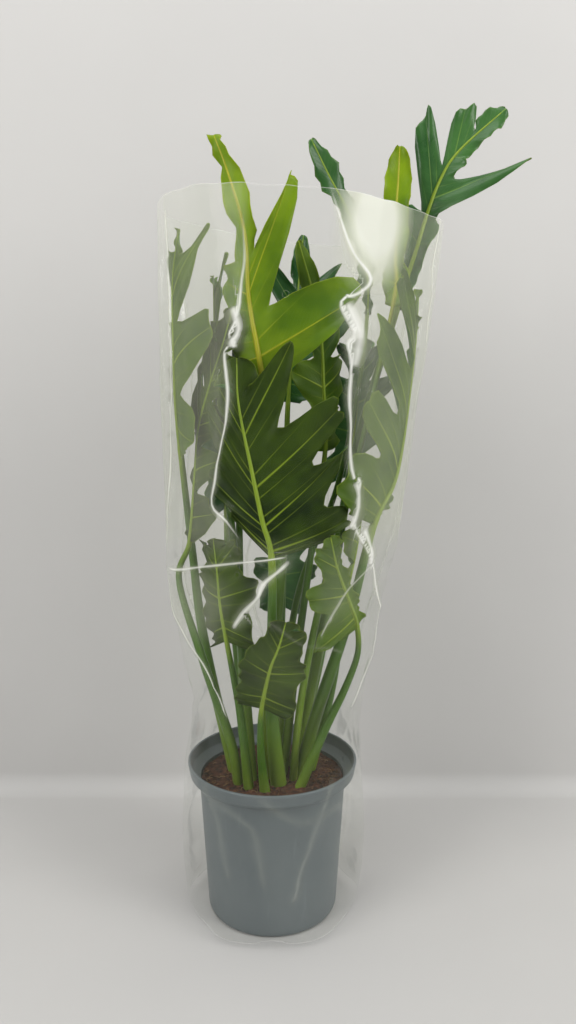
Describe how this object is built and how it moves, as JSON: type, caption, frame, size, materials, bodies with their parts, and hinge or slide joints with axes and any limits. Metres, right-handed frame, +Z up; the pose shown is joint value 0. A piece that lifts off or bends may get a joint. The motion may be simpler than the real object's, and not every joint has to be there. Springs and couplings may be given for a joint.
{
  "type": "potted plant",
  "caption": "Tall leafy foliage plant with deeply lobed leaves on long stalks, rooted in a round nursery pot and wrapped in a clear tapered film sleeve.",
  "frame": {"origin": "middle of the pot's underside, on the surface that it stands on", "axes": "+Z up along the pot's axis, -Y towards the viewer of the pictured front, +X to the right"},
  "size_m": [0.387, 0.2522, 0.9156],
  "materials": {
    "pot_plastic": "satin blue-grey moulded plastic",
    "potting_soil": "matt dark peat and bark",
    "clear_film": "clear crinkled film",
    "leaf_grown": "glossy dark green leaf",
    "leaf_young": "glossy yellow-green leaf"
  },
  "bodies": {
    "root": {"pot": "pot_plastic", "soil": "potting_soil", "sleeve": "clear_film", "leaf_front_broad": "leaf_grown", "leaf_front_tall": "leaf_young", "leaf_dark_spear": "leaf_grown", "leaf_pale_tongue": "leaf_young", "leaf_right_fan": "leaf_grown", "leaf_left_edge": "leaf_grown", "leaf_left_low": "leaf_grown", "leaf_left_inner": "leaf_grown", "leaf_core_left": "leaf_grown", "leaf_right_tall": "leaf_grown", "leaf_low_right": "leaf_grown", "leaf_low_front": "leaf_grown", "leaf_low_left": "leaf_grown", "leaf_right_inner": "leaf_grown", "leaf_core_front": "leaf_grown", "leaf_back_right": "leaf_grown", "leaf_back_high": "leaf_grown", "leaf_back_left": "leaf_grown", "leaf_back_low": "leaf_grown"}
  },
  "joints": []
}
